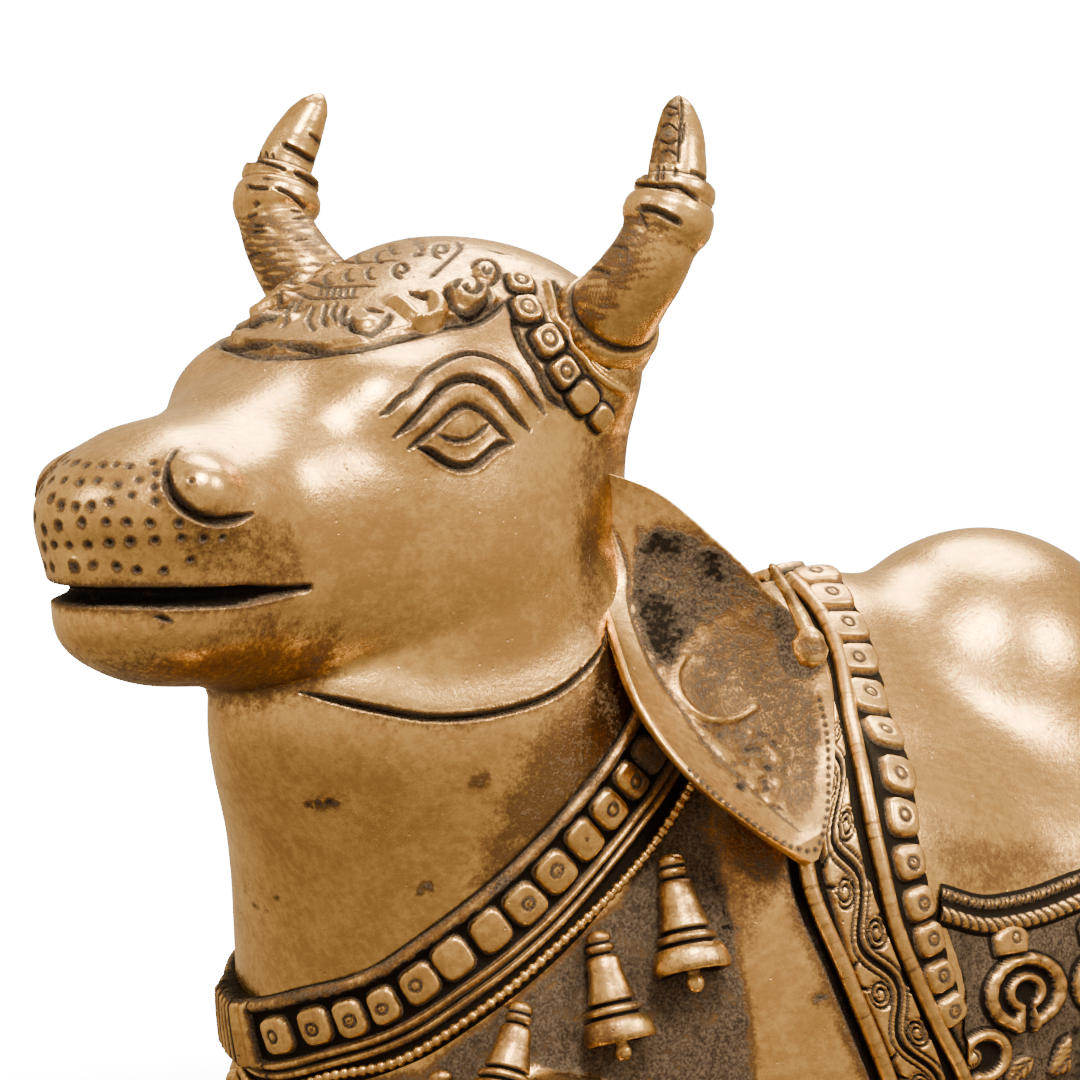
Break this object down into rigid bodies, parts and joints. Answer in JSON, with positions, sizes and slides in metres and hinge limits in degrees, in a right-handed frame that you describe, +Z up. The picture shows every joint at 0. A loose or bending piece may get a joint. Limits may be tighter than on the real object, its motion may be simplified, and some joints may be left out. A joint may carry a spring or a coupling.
{
  "type": "nandi bull figure",
  "caption": "Cast brass figure of a reclining humped bull with horn rings, engraved crest, collar, hanging bells and carved saddle cloth, on a low moulded base.",
  "frame": {"origin": "centre of the base's underside", "axes": "+Z up, -X the way the bull's body faces, -Y its left side, to which its head is turned"},
  "size_m": [0.3138, 0.148, 0.2259],
  "materials": {
    "brass": "polished, with dark patina in the recesses",
    "base_brass": "satin, darkened in the hollow of the moulding"
  },
  "bodies": {
    "root": {"nandi_bull": "brass", "base": "base_brass"}
  },
  "joints": []
}
